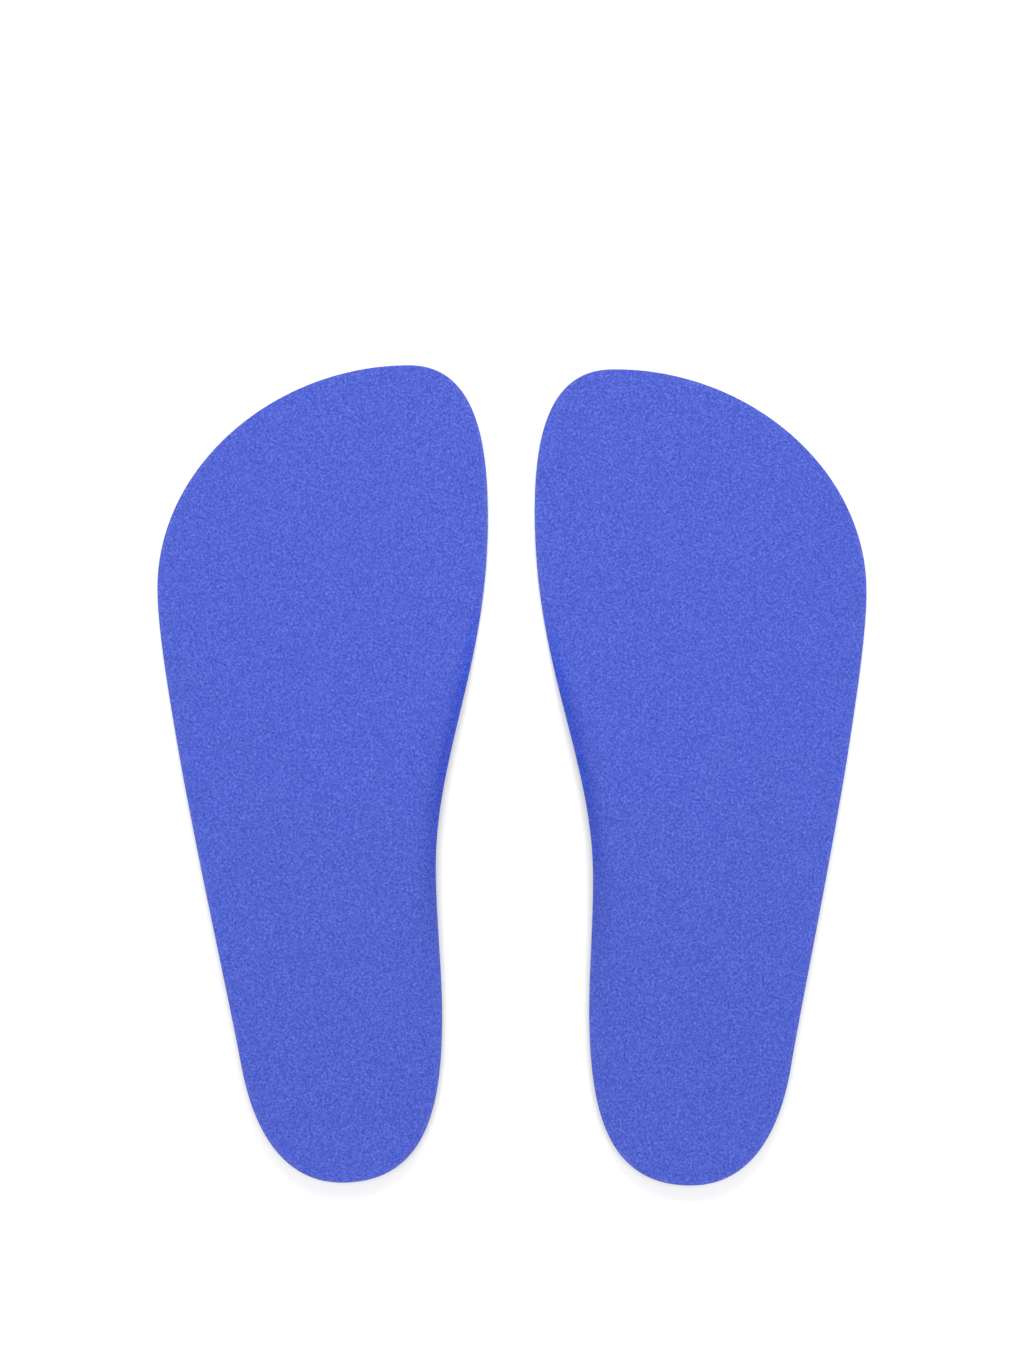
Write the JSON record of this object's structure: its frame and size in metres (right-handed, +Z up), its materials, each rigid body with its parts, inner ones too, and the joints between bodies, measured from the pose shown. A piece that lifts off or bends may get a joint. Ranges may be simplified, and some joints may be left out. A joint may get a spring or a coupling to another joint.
{
  "type": "pair of shoe insoles",
  "caption": "Left and right full-length contoured shoe insoles with a blue brushed textile top, a shallow heel cup, a raised arch edge and a flat flexible forefoot.",
  "frame": {"origin": "on the supporting surface, under the middle of the pair's bounding box", "axes": "+Z up, out of the face the foot rests on; +Y from heels to toes; +X from the left insole to the right insole"},
  "size_m": [0.2338, 0.27, 0.0146],
  "materials": {
    "cover": "brushed microfibre",
    "foam": "closed-cell foam, matt",
    "shell": "moulded foam, matt",
    "support": "satin moulded",
    "pad": "soft satin"
  },
  "bodies": {
    "left_insole": {"left_top_cover_rear": "cover", "left_foam_rear": "foam", "left_base_shell": "shell", "left_arch_support": "support", "left_heel_pad": "pad"},
    "left_forefoot": {"left_top_cover_front": "cover", "left_foam_front": "foam", "left_forefoot_pad": "pad"},
    "right_insole": {"right_top_cover_rear": "cover", "right_foam_rear": "foam", "right_base_shell": "shell", "right_arch_support": "support", "right_heel_pad": "pad"},
    "right_forefoot": {"right_top_cover_front": "cover", "right_foam_front": "foam", "right_forefoot_pad": "pad"}
  },
  "joints": [
    {"name": "left_toe_flex", "type": "hinge", "parent": "left_insole", "child": "left_forefoot", "pos_m": [-0.06246, 0.04409, 0.0046], "axis": [0.9703, 0.2419, 0], "range_deg": [0, 50], "stiffness_Nm_per_rad": 0.04},
    {"name": "right_insole_lift", "type": "slide", "parent": "left_insole", "child": "right_insole", "axis": [0, 0, 1], "range_m": [0, 0.06]},
    {"name": "right_toe_flex", "type": "hinge", "parent": "right_insole", "child": "right_forefoot", "pos_m": [0.06273, 0.04325, 0.0046], "axis": [0.9744, -0.225, 0], "range_deg": [0, 50], "stiffness_Nm_per_rad": 0.04}
  ]
}
